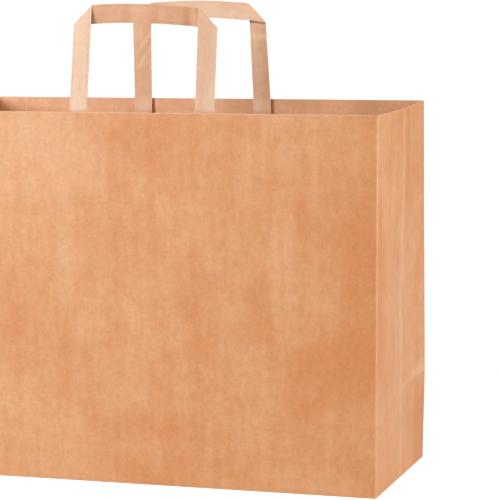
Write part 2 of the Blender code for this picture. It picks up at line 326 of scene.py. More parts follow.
# where the sheet is folded, creased or cut, from its flat coordinates, with a band of painted light
# above the right gusset's level crease
def sheetMarks(nodes, across, height):
    width = bag["width"]
    depth = bag["depth"]
    half = depth / 2
    run = kraft["markWidth"]
    fade = kraft["markFade"]
    folds = (0.0, width, width + depth, 2 * width + depth, 2 * width + 2 * depth)
    rightMiddle = width + half
    leftMiddle = 2 * width + depth + half
    middles = []
    slopes = []
    for centre in (rightMiddle, leftMiddle):
        away = abs(across - centre)
        middle = nodes.line(away, run["middle"]) + nodes.line(away, run["broad"]) * kraft["broadShare"]
        middles.append(middle * nodes.step(height, 0.0, fade["middle"]))
        slope = nodes.line(abs(away + height - half) * diagonal, run["slope"])
        slope = slope * (1 - nodes.step(away, half, half + fade["fold"]))
        slopes.append(slope * nodes.step(height, 0.0, fade["slope"]))
    beyond = nodes.step(across, rightMiddle, rightMiddle + fade["level"])
    beyond = beyond * (1 - nodes.step(across, leftMiddle - fade["level"], leftMiddle))
    above = height - half
    # a band of painted light just above the level crease, over the back half of the right gusset
    paintedLightBand = nodes.step(above, *kraft["paintedLightBandLow"]) * (1 - nodes.step(above, *kraft["paintedLightBandHigh"]))
    paintedLightBand = paintedLightBand * nodes.step(across, rightMiddle, width + depth)
    paintedLightBand = paintedLightBand * (1 - nodes.step(across, width + depth, width + depth + fade["paintedLightBand"]))
    seam = 2 * width + depth - bag["seamEdge"]
    return dict(
        upright=sum(nodes.line(abs(across - fold), run["upright"]) for fold in folds),
        base=nodes.line(abs(height), run["base"]),
        middle=sum(middles),
        slope=sum(slopes),
        level=nodes.line(abs(above), run["level"]) * beyond,
        paintedLightBand=paintedLightBand,
        rim=nodes.line(bag["height"] - height, run["rim"]),
        seam=nodes.line(abs(across - seam), run["seam"]),
        wrinkles=sum(stroked(nodes, across, height, crease) for crease in bag["wrinkles"]),
    )


# 1 along a straight crease on the flat sheet, fading at both its ends
def stroked(nodes, across, height, crease):
    start = Vector(crease[:2])
    way = Vector(crease[2:]) - start
    length = way.length
    way.normalize()
    right = across - start.x
    up = height - start.y
    along = right * way.x + up * way.y
    away = abs(right * way.y - up * way.x)
    fade = length * bag["wrinkleFade"]
    ends = nodes.step(along, 0.0, fade) * (1 - nodes.step(along, length - fade, length))
    return nodes.line(away, bag["wrinkleWidth"]) * ends


bag = dict(
    width=320 * mm,
    depth=125 * mm,
    height=250 * mm,
    paper=0.3 * mm,
    foldRadius=0.7 * mm,            # outside of the four upright folds
    baseRadius=0.55 * mm,           # outside of the folds around the base
    baseShift=0.4 * mm,
    mouthShift=3.5 * mm,            # the mouth stands a little to the right of the base
    creaseLow=0.3 * mm,             # the gusset's middle crease, outwards at the base folds
    creaseHigh=1.9 * mm,            # and at the mouth
    kinkHeight=121 * mm,            # where that crease has a dent
    kinkRun=11 * mm,
    kinkDepth=1.3 * mm,
    frontBow=0.9 * mm,              # the gusset's front half, outwards at the mouth
    backSpread=2.2 * mm,            # the back's upright folds, outwards at the base folds
    backSpreadLow=1.1 * mm,
    backPush=0.5 * mm,
    frontDip=0.2 * mm,              # how much lower the cut edge is than the back's, in front
    gussetDip=0.5 * mm,
    wrinkleWidth=3.4 * mm,
    wrinkleFade=0.3,                # share of its length over which each end fades
    # soft creases of the gussets, from and to a place on the flat sheet
    wrinkles=(
        (415 * mm, 132 * mm, 441 * mm, 88 * mm),
        (376 * mm, 128 * mm, 381 * mm, 104 * mm),
        (381 * mm, 62 * mm, 344 * mm, 47 * mm),
        (398 * mm, 146 * mm, 404 * mm, 96 * mm),
        (838 * mm, 150 * mm, 852 * mm, 92 * mm),
        (812 * mm, 118 * mm, 800 * mm, 70 * mm),
    ),
    wave=0.35 * mm,                 # waves of the panels
    waves=((9, 7, 4.2, 1.6), (26, 12, 8.7, 0.5)),   # how often around and up, start, share
    waveRun=40 * mm,                # from a fold to where they are full
    waveRise=50 * mm,               # and from the base
    seamEdge=25 * mm,               # the lap's free edge, from the back panel's side
    seamEnd=5 * mm,
    seamJoggle=2 * mm,
    flapLength=75 * mm,
    flapJoggle=1.5 * mm,
    flapStep=0.9,                   # share of the paper that steps down past the back flap's edge
    tuckDrop=0.6,                   # share of the paper by which the side flaps dip at the corners
    tuckRun=2 * mm,
    step=0.1 * mm,                  # run of a cut edge's step
    panelLines=80,
    gussetLines=40,
    foldLines=5,
    lineClear=0.8 * mm,             # least distance from the panels' lines to the seam's
    sharpAngle=38,                  # folds past this many degrees stay crisp
)


def smooth(value, low, high):
    share = min(max((value - low) / (high - low), 0.0), 1.0)
    return share * share * (3 - 2 * share)


# upright lines of the panels, with a pair of lines at each edge of the glued lap
def panelLines():
    half = bag["width"] / 2
    reach = half - bag["foldRadius"]
    count = bag["panelLines"]
    lines = [-reach + 2 * reach * place / count for place in range(count + 1)]
    edge = -half + bag["seamEdge"]
    end = -half + bag["seamEnd"]
    special = [edge, edge - bag["step"], end, end - bag["step"], end - bag["seamJoggle"]]

    def clear(x):
        return abs(x) == reach or min(abs(x - mark) for mark in special) > bag["lineClear"]

    return sorted([x for x in lines if clear(x)] + special)


def gussetLines():
    half = bag["depth"] / 2
    reach = half - bag["foldRadius"]
    count = bag["gussetLines"]
    lines = [-half + 2 * half * place / count for place in range(1, count)]
    return [-reach] + lines + [reach]


# once round the tube from the front left fold: centre of curvature, way out and place in the sheet
def ringLines():
    width = bag["width"]
    depth = bag["depth"]
    x = width / 2 - bag["foldRadius"]
    y = depth / 2 - bag["foldRadius"]
    panel = panelLines()
    gusset = gussetLines()
    ring = [(place, -y, 270, width / 2 + place) for place in panel]
    ring += foldTurn(x, -y, 270, width)
    ring += [(x, place, 0, width + depth / 2 + place) for place in gusset]
    ring += foldTurn(x, y, 0, width + depth)
    ring += [(place, y, 90, width * 1.5 + depth - place) for place in reversed(panel)]
    ring += foldTurn(-x, y, 90, 2 * width + depth)
    ring += [(-x, place, 180, 2 * width + depth * 1.5 - place) for place in reversed(gusset)]
    ring += foldTurn(-x, -y, 180, 2 * width + 2 * depth)
    return ring


def foldTurn(x, y, start, around):
    count = bag["foldLines"]
    radius = bag["foldRadius"]
    lines = []
    for place in range(1, count):
        share = place / count
        lines.append((x, y, start + 90 * share, around + radius * (2 * share - 1)))
    return lines


# rows from the base up: height and inset of the outer and of the inner face
def sheetRows():
    turn = bag["baseRadius"]
    inner = turn - bag["paper"]
    rows = []
    for place in range(bag["foldLines"]):
        angle = math.radians(90 * place / bag["foldLines"])
        rows.append((
            turn * (1 - math.cos(angle)),
            turn * (1 - math.sin(angle)),
            turn - inner * math.cos(angle),
            turn - inner * math.sin(angle),
        ))
    pitch = bag["depth"] / bag["gussetLines"]
    count = round(bag["height"] / pitch)
    heights = [turn] + [bag["height"] * place / count for place in range(1, count + 1)]
    rows += [(height, 0.0, height, bag["paper"]) for height in heights]
    return rows


# how far out the seam's lap lifts the two faces of the back panel
def seamLift(x, inside):
    edge = -bag["width"] / 2 + bag["seamEdge"]
    end = -bag["width"] / 2 + bag["seamEnd"]
    small = bag["step"] / 2
    ramp = smooth(x, end - bag["seamJoggle"], end - bag["step"])
    if inside:
        return bag["paper"] * ramp if x < end - small else 0.0
    return bag["paper"] * ramp if x < edge - small else 0.0


# the gusset's offset outwards from the flat one, folded along its creases
def gussetOut(y, height, spread):
    half = bag["depth"] / 2
    if height > half:
        share = (height - half) / (bag["height"] - half)
        middle = bag["creaseLow"] + (bag["creaseHigh"] - bag["creaseLow"]) * share
        middle -= bag["kinkDepth"] * math.exp(-((height - bag["kinkHeight"]) / bag["kinkRun"]) ** 2)
        if y < 0:
            bulge = math.sin(math.pi * (1 + y / half)) * share
            return middle * (1 + y / half) + bag["frontBow"] * bulge
        return middle + (spread - middle) * y / half
    middle = bag["creaseLow"]
    low = bag["backSpreadLow"]
    high = bag["backSpread"]
    level = height / half
    place = y / half
    if abs(place) <= 1 - level:
        return low * (1 + place) / 2 + (middle - low / 2) * level
    if place < 0:
        return middle * (1 + place)
    return low - high + middle + (high - middle) * place + (high - low) * level


# how much lower the cut edge stands at a place around the mouth
def rimDip(line):
    y, facing = line[1:3]
    half = bag["depth"] / 2
    if facing in (0, 180):
        if y < 0:
            return bag["frontDip"] + (bag["gussetDip"] - bag["frontDip"]) * (1 + y / half)
        return bag["gussetDip"] * (1 - y / half)
    return bag["frontDip"] * (y < 0)


# how far the paper of one place has moved from the plain tube
def drift(line, height):
    x, y, facing = line[:3]
    half = bag["depth"] / 2
    top = bag["height"]
    if height <= half:
        share = height / half
        spread = bag["backSpreadLow"] + (bag["backSpread"] - bag["backSpreadLow"]) * share
    else:
        share = (top - height) / (top - half)
        spread = bag["backSpread"] * share
    push = bag["backPush"] * share
    side = 1 if x > 0 else -1
    wide = abs(x) / (bag["width"] / 2 - bag["foldRadius"])
    deep = y / (half - bag["foldRadius"])
    shift = bag["baseShift"] + (bag["mouthShift"] - bag["baseShift"]) * height / top
    dip = rimDip(line) * smooth(height, top / 2, top)
    move = Vector((shift, 0.0, -dip))
    if facing in (0, 180):
        move.x += side * gussetOut(y, height, spread)
    else:
        move.x += side * wide * spread * max(deep, 0.0)
    if facing == 90:
        move.y -= push
    out = Vector((math.cos(math.radians(facing)), math.sin(math.radians(facing)), 0.0))
    move += out * panelWave(line, height)
    return move


# slow and quicker waves, still at the folds and along the base
def panelWave(line, height):
    x, y, facing, around = line
    if facing in (270, 90):
        still = bag["width"] / 2 - bag["foldRadius"] - abs(x)
    elif facing in (0, 180):
        still = bag["depth"] / 2 - bag["foldRadius"] - abs(y)
    else:
        still = 0.0
    hold = smooth(still, 0.0, bag["waveRun"]) * smooth(height, 0.0, bag["waveRise"])
    lift = 0.0
    for often, upwards, start, share in bag["waves"]:
        lift += share * noise.noise(Vector((around * often, height * upwards, start)))
    return bag["wave"] * hold * lift


def sheetPoint(line, height, inset, inside):
    x, y, facing = line[:3]
    angle = math.radians(facing)
    reach = bag["foldRadius"] - inset
    if facing == 90:
        reach += seamLift(x, inside)
    point = Vector((x + reach * math.cos(angle), y + reach * math.sin(angle), height))
    return point + drift(line, height)


# which layer shows under the base, as the height of its face above the floor
def baseUnder(x, y):
    tip = (bag["width"] - bag["depth"]) / 2
    overlap = bag["flapLength"] - bag["depth"] / 2
    small = bag["step"] / 2
    pastBack = max(-overlap - y, (abs(x) - tip - y) * diagonal)
    pastFront = (abs(x) - tip + y) * diagonal
    if pastBack < small:
        return 0.0
    if pastFront > small:
        return bag["paper"]
    settled = smooth(pastBack, bag["step"], 2 * bag["flapJoggle"])
    return bag["flapStep"] * bag["paper"] * (1 - settled)


# the same inside the bag: back flap, the front flap over it, and the side flaps on top
def baseInside(x, y):
    overlap = bag["flapLength"] - bag["depth"] / 2
    sideEdge = bag["width"] / 2 - bag["flapLength"]
    tip = (bag["width"] - bag["depth"]) / 2
    small = bag["step"] / 2
    if abs(x) > sideEdge - small:
        tuck = smooth((abs(x) - tip - abs(y)) * diagonal, -bag["tuckRun"], bag["tuckRun"])
        return bag["paper"] * (3 - bag["tuckDrop"] * tuck)
    if y > overlap + small:
        return bag["paper"]
    return bag["paper"] * (1 + smooth(y, -overlap - bag["flapJoggle"], -overlap))


def scoreLines(sheet, zone, lines):
    layer = sheet.faces.layers.int["zone"]
    for point, way in lines:
        faces = [face for face in sheet.faces if face[layer] == zone]
        edges = {edge for face in faces for edge in face.edges}
        corners = {corner for face in faces for corner in face.verts}
        bmesh.ops.bisect_plane(
            sheet,
            geom=faces + list(edges) + list(corners),
            dist=1e-6,
            plane_co=point,
            plane_no=way,
        )


def baseScores():
    tip = (bag["width"] - bag["depth"]) / 2
    overlap = bag["flapLength"] - bag["depth"] / 2
    sideEdge = bag["width"] / 2 - bag["flapLength"]
    under = []
    for past in (0.0, bag["step"], 2 * bag["flapJoggle"]):
        under.append(((0, -overlap - past, 0), (0, 1, 0)))
        for side in (-1, 1):
            start = (side * (tip + past / diagonal), 0, 0)
            under.append((start, (side * diagonal, -diagonal, 0)))
    for past in (0.0, bag["step"]):
        for side in (-1, 1):
            start = (side * (tip + past / diagonal), 0, 0)
            under.append((start, (side * diagonal, diagonal, 0)))
    inside = []
    for y in (overlap, overlap + bag["step"], -overlap, -overlap - bag["flapJoggle"]):
        inside.append(((0, y, 0), (0, 1, 0)))
    for x in (sideEdge, sideEdge - bag["step"]):
        for side in (-1, 1):
            inside.append(((side * x, 0, 0), (1, 0, 0)))
    return under, inside


# closes the tube with a grid whose edge lines are the tube's own
def closeBase(sheet, corners, level, zone):
    panel = panelLines()
    gusset = gussetLines()
    turn = bag["foldLines"] - 1
    grid = [[sheet.verts.new((x, y, level)) for y in gusset] for x in panel]
    wide = len(panel)
    deep = len(gusset)
    front = list(range(wide))
    right = [wide + turn + place for place in range(deep)]
    back = [2 * turn + 2 * wide + deep - 1 - place for place in range(wide)]
    left = [2 * wide + 3 * turn + 2 * deep - 1 - place for place in range(deep)]
    layer = sheet.faces.layers.int["zone"]
    loops = []
    for i in range(wide - 1):
        for j in range(deep - 1):
            loops.append((grid[i][j], grid[i + 1][j], grid[i + 1][j + 1], grid[i][j + 1]))
        loops.append((corners[front[i]], corners[front[i + 1]], grid[i + 1][0], grid[i][0]))
        loops.append((grid[i][-1], grid[i + 1][-1], corners[back[i + 1]], corners[back[i]]))
    for j in range(deep - 1):
        loops.append((grid[-1][j], corners[right[j]], corners[right[j + 1]], grid[-1][j + 1]))
        loops.append((corners[left[j]], grid[0][j], grid[0][j + 1], corners[left[j + 1]]))
    count = len(corners)
    for start, knot in (
        (front[-1], grid[-1][0]),
        (right[-1], grid[-1][-1]),
        (back[0], grid[0][-1]),
        (left[0], grid[0][0]),
    ):
        for place in range(start, start + turn + 1):
            loops.append((corners[place % count], corners[(place + 1) % count], knot))
    for loop in loops:
        face = sheet.faces.new(loop if zone == 2 else loop[::-1])
        face[layer] = zone
        face.material_index = zone - 1


# flat coordinates of a place on the base, as its flap lay in the sheet
def flapPlace(point, middle):
    width = bag["width"]
    half = bag["depth"] / 2
    tip = (width - bag["depth"]) / 2
    if abs(middle.x) > tip + abs(middle.y):
        if middle.x > 0:
            return width + half + point.y, abs(point.x) - width / 2
        return 2 * width + 3 * half - point.y, abs(point.x) - width / 2
    if middle.y > -(bag["flapLength"] - half):
        return 1.5 * width + 2 * half - point.x, point.y - half
    return width / 2 + point.x, -half - point.y


def buildBag():
    sheet = bmesh.new()
    layer = sheet.faces.layers.int.new("zone")
    flat = sheet.loops.layers.uv.new("flatSheet")
    ring = ringLines()
    rows = sheetRows()
    count = len(ring)
    total = 2 * (bag["width"] + bag["depth"])
    sides = []
    for inside in (False, True):
        points = []
        for outerHeight, outerInset, innerHeight, innerInset in rows:
            height = innerHeight if inside else outerHeight
            inset = innerInset if inside else outerInset
            places = [sheetPoint(line, height, inset, inside) for line in ring]
            points.append([sheet.verts.new(place) for place in places])
        sides.append(points)

    def mark(face, places, material):
        face.material_index = material
        for loop, (around, height) in zip(face.loops, places):
            loop[flat].uv = (around, height)

    for inside, points in enumerate(sides):
        for row in range(len(rows) - 1):
            low = rows[row][2 if inside else 0]
            high = rows[row + 1][2 if inside else 0]
            for place in range(count):
                following = (place + 1) % count
                start = ring[place][3]
                stop = ring[following][3] + (total if following == 0 else 0.0)
                corners = [points[row][place], points[row][following]]
                corners += [points[row + 1][following], points[row + 1][place]]
                places = [(start, low), (stop, low), (stop, high), (start, high)]
                if inside:
                    corners.reverse()
                    places.reverse()
                mark(sheet.faces.new(corners), places, inside)
    top = bag["height"]
    for place in range(count):
        following = (place + 1) % count
        start = ring[place][3]
        stop = ring[following][3] + (total if following == 0 else 0.0)
        corners = [sides[0][-1][place], sides[0][-1][following]]
        corners += [sides[1][-1][following], sides[1][-1][place]]
        mark(sheet.faces.new(corners), [(start, top), (stop, top), (stop, top), (start, top)], 0)

    under, within = baseScores()
    zones = ((1, under, 0.0, baseUnder), (2, within, bag["paper"], baseInside))
    for zone, lines, level, rise in zones:
        edge = sides[zone - 1][0]
        closeBase(sheet, edge, level, zone)
        scoreLines(sheet, zone, lines)
        faces = [face for face in sheet.faces if face[layer] == zone]
        for corner in {corner for face in faces for corner in face.verts} - set(edge):
            corner.co.z = rise(corner.co.x, corner.co.y)
        for face in faces:
            middle = face.calc_center_median()
            for loop in face.loops:
                loop[flat].uv = flapPlace(loop.vert.co, middle)
    mesh = bpy.data.meshes.new("paperBag")
    sheet.to_mesh(mesh)
    sheet.free()
    item = bpy.data.objects.new("paperBag", mesh)
    scene.collection.objects.link(item)
    mesh.materials.append(kraftFinish("kraftOutside", False))
    mesh.materials.append(kraftFinish("kraftInside", True))
    mesh.shade_smooth()
    mesh.set_sharp_from_angle(angle=math.radians(bag["sharpAngle"]))
    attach(item, "root")
    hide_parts("bag_body")


print("bag")
buildBag()


print("straps and patches")

strap = dict(
    width=12.8 * mm,
    thick=0.6 * mm,
    spacing=88.4 * mm,              # between the middles of the legs, at the mouth
    splay=math.radians(0.6),
    rise=68.0 * mm,                 # top of the legs' own paper above the mouth
    below=58 * mm,
    lean=math.radians(4.5),         # inwards, over the mouth
    rimStandoff=1.5 * mm,
    bulgeStandoff=2.0 * mm,
    bulgeDepth=9 * mm,
    glueGap=0.3 * mm,
    arch=1.7 * mm,
    packedFold=80 * mm,             # a faint crease across both legs, from the strap's end
    mitreSteps=8,
    mitreClear=1.5 * mm,
    mitreLow=3 * mm,                # from a leg's last level line to its mitre
    mitreLegLines=7,
    mitreBandLines=6,
    pitch=2.2 * mm,
    across=12,
    steadyRun=0.3,                  # share of the arch over which the band's waves set in
    edgeShare=0.6,                  # of the thickness, at the long edges
    sharpAngle=50,
    plyLine=1.4 * mm,               # the folded ply's edge shows this far from the strap's
    plyWidth=0.45 * mm,
    plyTone=0.3,
    edgeWidth=0.6 * mm,
    edgeTone=0.4,
    packedWidth=1.2 * mm,
    # the packed crease is drawn darker: painted shade in it
    packedCreaseShade=0.3,
    # a painted shadow: the dark line under the folded band's edge, where it shades the leg
    paintedShadowAt=111.5 * mm,         # where the folded band presses on the leg
    paintedShadowSlant=0.1,
    paintedShadowWidth=0.8 * mm,
    paintedShadowTone=colour(0.36, 0.17, 0.085),
    paintedShadowStrength=0.9,                   # strength of that tone, on the brown faces alone
    paleStart=7.3,                  # where in the noise each face starts
    brownStart=15.1,
    mottle=dict(cloud=0.3, streak=0.7),
    contrast=(0.33, 0.67),
    relief=dict(grain=0.4, fibre=0.6, cloud=0.5, ply=-0.8, packed=-0.5),
    speckle=0.36,
)

# each handle is glued a little askew and bows away from the bag. Its band has soft waves (place
# along the band, run, height), its legs have creases (place, rise, slant, run, height).
# Both handles are the same strap paper; their tones differ as painted light and shade: the front
# handle's faces are a shaded copy, the back handle's a lit copy.
handles = dict(
    front=dict(
        facing=1,
        shift=-1.4 * mm,
        tilt=math.radians(1.5),
        drop=0.1 * mm,
        bow=3.6 * mm,
        bowAtRim=0.7,
        opening=2.2 * mm,           # the band stands this far off the legs, past its folds
        openRun=15 * mm,
        pinch=0.0,                  # the legs come together upwards
        swerve=0.015,               # and lean to the right
        flop=math.radians(-8),
        bandWaves=(
            (-7.5 * mm, 5 * mm, -1.4 * mm),
            (3 * mm, 12 * mm, 1.4 * mm),
            (11.0 * mm, 2.5 * mm, -1.1 * mm),
            (32.5 * mm, 3.2 * mm, -1.8 * mm),
        ),
        creases=(),
        # the front handle's tones: a shaded copy of the strap paper, painted shade
        paleFace=dict(
            deep=colour(0.70, 0.42, 0.265),
            pale=colour(0.77, 0.51, 0.355),
            edge=colour(0.85, 0.60, 0.43),
            rough=0.50,
        ),
        brownFace=dict(
            deep=colour(0.64, 0.315, 0.16),
            pale=colour(0.71, 0.39, 0.23),
            edge=colour(0.78, 0.50, 0.33),
            rough=0.52,
        ),
    ),
    back=dict(
        facing=-1,
        shift=0.0,
        tilt=math.radians(-0.3),
        drop=1.9 * mm,
        bow=5.0 * mm,
        bowAtRim=0.3,
        opening=4.5 * mm,
        openRun=8 * mm,
        pinch=0.012,
        swerve=0.0,
        flop=math.radians(-26),
        bandWaves=((-12 * mm, 8 * mm, 0.3 * mm), (18 * mm, 9 * mm, -0.3 * mm)),
        creases=(
            (-39.8 * mm, 36.6 * mm, math.radians(58), 2.4 * mm, 0.6 * mm),
            (-42.0 * mm, 38.6 * mm, math.radians(48), 2.0 * mm, -0.5 * mm),
            (-38.4 * mm, 47.5 * mm, math.radians(58), 2.5 * mm, 0.6 * mm),
            (-40.5 * mm, 22.0 * mm, 0.0, 2.0 * mm, -0.4 * mm),
            (45.0 * mm, 46.0 * mm, math.radians(-12), 3.0 * mm, 0.5 * mm),
            (45.0 * mm, 41.0 * mm, math.radians(8), 3.0 * mm, -0.4 * mm),
        ),
        # the back handle's tones: a lit copy of the strap paper, painted light against the shade on
        # its legs
        paleFace=dict(
            deep=colour(0.79, 0.47, 0.29),
            pale=colour(0.87, 0.57, 0.38),
            edge=colour(0.89, 0.64, 0.46),
            rough=0.48,
        ),
        brownFace=dict(
            deep=colour(0.82, 0.475, 0.275),
            pale=colour(0.89, 0.57, 0.365),
            edge=colour(0.89, 0.64, 0.46),
            rough=0.52,
        ),
    ),
)

patch = dict(
    width=190 * mm,
    height=50 * mm,
    below=15 * mm,
    paper=0.3 * mm,
    slope=3 * mm,
    sideClearance=0.8 * mm,
    pitch=2.5 * mm,
    start=11.9,                     # where in the noise it starts
    mottle=dict(cloud=0.5, streak=0.5),
    contrast=(0.35, 0.65),
    relief=dict(grain=0.4, fibre=0.6, cloud=1.4),
    rough=0.61,
)


# a closed sheet about a grid of middle points, with flat coordinates for each of them
def sheetAround(name, points, places, halves, finishes):
    sheet = bmesh.new()
    flat = sheet.loops.layers.uv.new("flatSheet")
    rows = len(points)
    count = len(points[0])
    sides = ([], [])
    for row in range(rows):
        for side in sides:
            side.append([])
        for place in range(count):
            before = points[max(row - 1, 0)][place]
            after = points[min(row + 1, rows - 1)][place]
            left = points[row][max(place - 1, 0)]
            right = points[row][min(place + 1, count - 1)]
            way = (right - left).cross(after - before).normalized()
            middle = points[row][place]
            sides[0][-1].append(sheet.verts.new(middle + way * halves[place]))
            sides[1][-1].append(sheet.verts.new(middle - way * halves[place]))

    def addFace(corners, spots, side):
        face = sheet.faces.new(corners)
        face.material_index = min(side, len(finishes) - 1)
        for loop, spot in zip(face.loops, spots):
            loop[flat].uv = spot

    for row in range(rows - 1):
        for place in range(count - 1):
            spots = [(row, place), (row, place + 1), (row + 1, place + 1), (row + 1, place)]
            for side, order in ((0, 1), (1, -1)):
                ordered = spots[::order]
                corners = [sides[side][i][j] for i, j in ordered]
                addFace(corners, [places[i][j] for i, j in ordered], side)
    rim = [(0, place) for place in range(count)]
    rim += [(row, count - 1) for row in range(1, rows)]
    rim += [(rows - 1, place) for place in range(count - 2, -1, -1)]
    rim += [(row, 0) for row in range(rows - 2, 0, -1)]
    for (i, j), (k, m) in zip(rim, rim[1:] + rim[:1]):
        corners = (sides[0][k][m], sides[0][i][j], sides[1][i][j], sides[1][k][m])
        addFace(corners, (places[k][m], places[i][j], places[i][j], places[k][m]), 0)
    bmesh.ops.recalc_face_normals(sheet, faces=sheet.faces)
    mesh = bpy.data.meshes.new(name)
    sheet.to_mesh(mesh)
    sheet.free()
    for finish in finishes:
        mesh.materials.append(finish)
    mesh.shade_smooth()
    mesh.set_sharp_from_angle(angle=math.radians(strap["sharpAngle"]))
    item = bpy.data.objects.new(name, mesh)
    scene.collection.objects.link(item)
    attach(item, "root")
    return item


# a place of the handle's plane, turned about the middle of the mouth and let down
def askew(point, tilt, drop):
    x = point.x * math.cos(tilt) + point.y * math.sin(tilt)
    rise = point.y * math.cos(tilt) - point.x * math.sin(tilt)
    return Vector((x, rise - drop))


def bandLow():
    return strap["rise"] - strap["width"]


# fold lines of the left mitre, from the leg to the band: both ends and their layers
def mitreLines():
    way = Vector((math.sin(strap["splay"]), math.cos(strap["splay"])))
    sideways = Vector((-way.y, way.x))
    middle = Vector((-strap["spacing"] / 2 + math.tan(strap["splay"]) * bandLow(), bandLow()))
    along = (way + Vector((1.0, 0.0))).normalized()
    outwards = Vector((-along.y, along.x))
    outer = middle + sideways * (strap["width"] / 2)
    inner = outer + along * (strap["width"] / abs(along.cross(way)))
    radius = (strap["thick"] + strap["glueGap"]) / 2
    lines = []
    for step in range(strap["mitreSteps"] + 1):
        angle = math.pi * step / strap["mitreSteps"]
        bulge = outwards * (radius * math.sin(angle)) + along * (radius * angle)
        layer = radius * (1 - math.cos(angle))
        lines.append((outer + bulge, inner + bulge, Vector((layer, layer))))
    return lines


def flip(line):
    a, b, layer = line
    return Vector((-a.x, a.y)), Vector((-b.x, b.y)), layer


# outer and inner edge of a leg at one height over the mouth
def legAt(side, rise, tilt, drop):
    first = mitreLines()[0]
    way = Vector((-side * math.sin(strap["splay"]), math.cos(strap["splay"])))
    if side > 0:
        first = flip(first)
    ends = []
    for end in first[:2]:
        top = askew(end, tilt, drop)
        low = askew(end - way, tilt, drop)
        ends.append(top + (top - low) * ((rise - top.y) / (top.y - low.y)))
    return ends


# distance from the wall to the middle of a leg
def legStandoff(rise):
    glued = strap["glueGap"] + strap["thick"] / 2
    bulge = strap["bulgeStandoff"] + strap["thick"] / 2
    rim = strap["rimStandoff"] + strap["thick"] / 2
    if rise < -strap["bulgeDepth"]:
        return glued + (bulge - glued) * smooth(rise, -patch["below"], -strap["bulgeDepth"])
    if rise < 0:
        return bulge + (rim - bulge) * smooth(rise, -strap["bulgeDepth"], 0.0)
    return rim + rise * math.tan(strap["lean"])


# lines between two others, without the first
def between(first, last, count):
    lines = []
    for place in range(1, count + 1):
        share = place / count
        lines.append(tuple(start + (stop - start) * share for start, stop in zip(first, last)))
    return lines


# every line across a handle from one leg's end to the other's: both ends and their layers
def strapLines(side):
    tilt = side["tilt"]
    drop = side["drop"]
    mitre = [(askew(a, tilt, drop), askew(b, tilt, drop), layer) for a, b, layer in mitreLines()]
    other = [flip(line) for line in reversed(mitreLines())]
    other = [(askew(a, tilt, drop), askew(b, tilt, drop), layer) for a, b, layer in other]
    legs = {}
    for hand, join in ((-1, mitre[0]), (1, other[-1])):
        top = min(join[0].y, join[1].y) - strap["mitreLow"]
        count = round((top + strap["below"]) / strap["pitch"])
        lines = []
        for place in range(count + 1):
            rise = -strap["below"] + (top + strap["below"]) * place / count
            lines.append((*legAt(hand, rise, tilt, drop), Vector((0.0, 0.0))))
        lines += between(lines[-1], join, strap["mitreLegLines"])[:-1]
        legs[hand] = lines
    lowEnd, highEnd, layer = mitreLines()[-1]
    upright = []
    reach = abs(highEnd.x) - strap["mitreClear"]
    count = round(2 * reach / strap["pitch"])
    for place in range(count + 1):
        x = -reach + 2 * reach * place / count
        low = askew(Vector((x, lowEnd.y)), tilt, drop)
        high = askew(Vector((x, highEnd.y)), tilt, drop)
        gaps = [smooth(abs(end.x) - abs(x), 0.0, side["openRun"]) for end in (lowEnd, highEnd)]
        upright.append((low, high, layer + Vector(gaps) * side["opening"]))
    band = between(mitre[-1], upright[0], strap["mitreBandLines"])[:-1] + upright
    band += between(upright[-1], other[0], strap["mitreBandLines"])[:-1]
    return legs[-1] + mitre + band + other + legs[1][::-1]


# waves of the band, towards the outside of the bag
def bandWave(side, x):
    lift = 0.0
    for place, run, height in side["bandWaves"]:
        lift += height * math.exp(-((x - place) / run) ** 2)
    return lift


# creases of the legs, in the same direction, as seen from the front of the bag
def legWave(side, x, rise):
    lift = 0.0
    for place, level, slant, run, height in side["creases"]:
        if abs(x - place) < strap["width"]:
            away = (rise - level) * math.cos(slant) - (x - place) * math.sin(slant)
            lift += height * max(1 - abs(away) / run, 0.0)
    return lift


# how far the whole handle bows away from the bag
def bowOut(side, x, rise):
    reach = strap["spacing"] / 2
    grown = side["bowAtRim"] + (1 - side["bowAtRim"]) * smooth(rise, 0.0, strap["rise"])
    return side["bow"] * (1 - (x / reach) ** 2) * grown * smooth(rise, -strap["bulgeDepth"], 0.0)


def buildHandle(name, side, finishes):
    wall = bag["depth"] / 2 - bag["paper"]
    facing = side["facing"]
    reach = strap["spacing"] / 2 - strap["width"] / 2
    points = []
    places = []
    lengths = [0.0, 0.0]
    before = None
    for a, b, layer in strapLines(side):
        if before is not None:
            lengths[0] += (a - before[0]).length
            lengths[1] += (b - before[1]).length
        before = (a, b)
        row = []
        spots = []
        for place in range(strap["across"] + 1):
            share = place / strap["across"]
            spot = a + (b - a) * share
            offset = strap["width"] * (share - 0.5)
            lifted = layer[0] + (layer[1] - layer[0]) * share
            near = legStandoff(spot.y) + lifted - bowOut(side, spot.x, spot.y)
            middle = 1 - min(abs(spot.x) / reach, 1.0) ** 2
            inner = min(lifted / (strap["thick"] + strap["glueGap"]), 1.0)
            steady = smooth(middle, 0.0, strap["steadyRun"]) * inner
            x = facing * spot.x
            near -= bandWave(side, x) * steady + legWave(side, x, spot.y) * (1 - inner)
            near += math.tan(side["flop"]) * offset * steady
            past = reach + strap["width"] - abs(spot.x)
            held = smooth(past, 0.0, strap["width"]) * inner
            shortened = strap["width"] * (1 - math.cos(side["flop"])) * (1 - share) * held
            rise = spot.y + strap["arch"] * middle * inner + shortened
            sideways = max(spot.y, 0.0) * (side["swerve"] - side["pinch"] * x / reach)
            x += sideways + side["shift"] + bag["mouthShift"]
            row.append(Vector((x, facing * (near - wall), bag["height"] + rise)))
            spots.append((offset, lengths[0] + (lengths[1] - lengths[0]) * share))
        points.append(row)
        places.append(spots)
    halves = []
    for place in range(strap["across"] + 1):
        edge = strap["edgeShare"] if place in (0, strap["across"]) else 1.0
        halves.append(strap["thick"] / 2 * edge)
    return sheetAround(name, points, places, halves, finishes)


